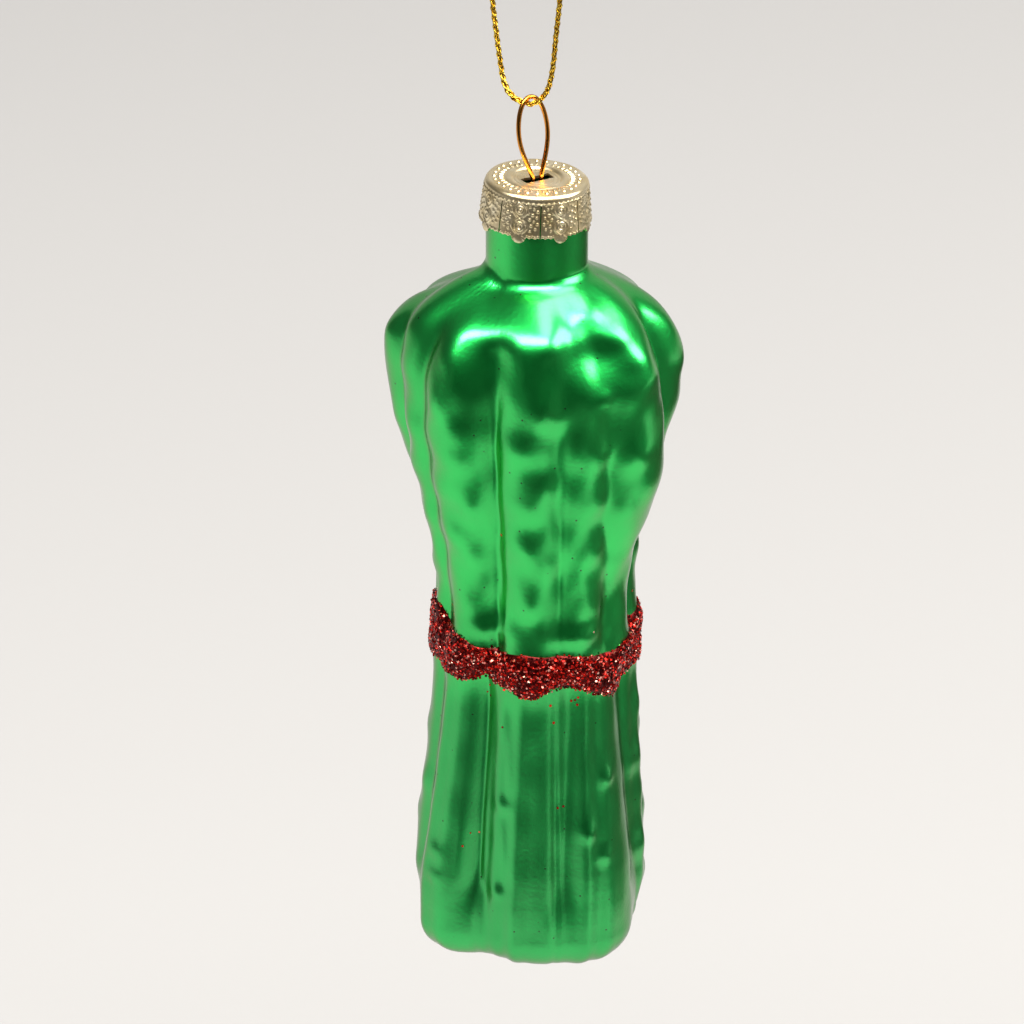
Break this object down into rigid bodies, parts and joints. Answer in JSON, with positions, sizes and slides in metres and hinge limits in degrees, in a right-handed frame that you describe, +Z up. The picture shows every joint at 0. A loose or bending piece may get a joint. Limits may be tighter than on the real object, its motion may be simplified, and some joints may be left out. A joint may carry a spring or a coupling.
{
  "type": "hanging glass ornament",
  "caption": "Blown-glass ornament in the form of a tied bundle of gherkins, hung by a stamped crown cap, a spring wire and a cord loop.",
  "frame": {"origin": "where a hook bears inside the top of the cord loop, just under the knot", "axes": "+Z up along the plumb line, -Y the front of the ornament, +X to the right as seen from the front"},
  "size_m": [0.038, 0.0318, 0.18],
  "materials": {
    "green_glass": "blown glass, silvered inside, satin green metallic lacquer outside",
    "red_glitter": "coarse red glitter set in clear glue",
    "gold_tinplate": "stamped tinplate with champagne-gold lacquer",
    "spring_wire": "bright copper-gold spring wire",
    "gold_cord": "metallic gold braid"
  },
  "bodies": {
    "cord": {"cord_loop": "gold_cord", "cord_knot": "gold_cord"},
    "hanger": {"hanger_wire": "spring_wire"},
    "cap": {"crown_cap": "gold_tinplate"},
    "glass": {"glass_body": "green_glass", "glitter_band": "red_glitter"}
  },
  "joints": [
    {"name": "hanger_swing", "type": "hinge", "parent": "cord", "child": "hanger", "pos_m": [0, 0, -0.0501], "axis": [0.866, -0.5, 0], "range_deg": [-75, 75]},
    {"name": "cap_lift", "type": "slide", "parent": "hanger", "child": "cap", "axis": [0, 0, 1], "range_m": [0, 0.003]},
    {"name": "glass_pull", "type": "slide", "parent": "hanger", "child": "glass", "axis": [0, 0, 1], "range_m": [-0.022, 0]}
  ]
}
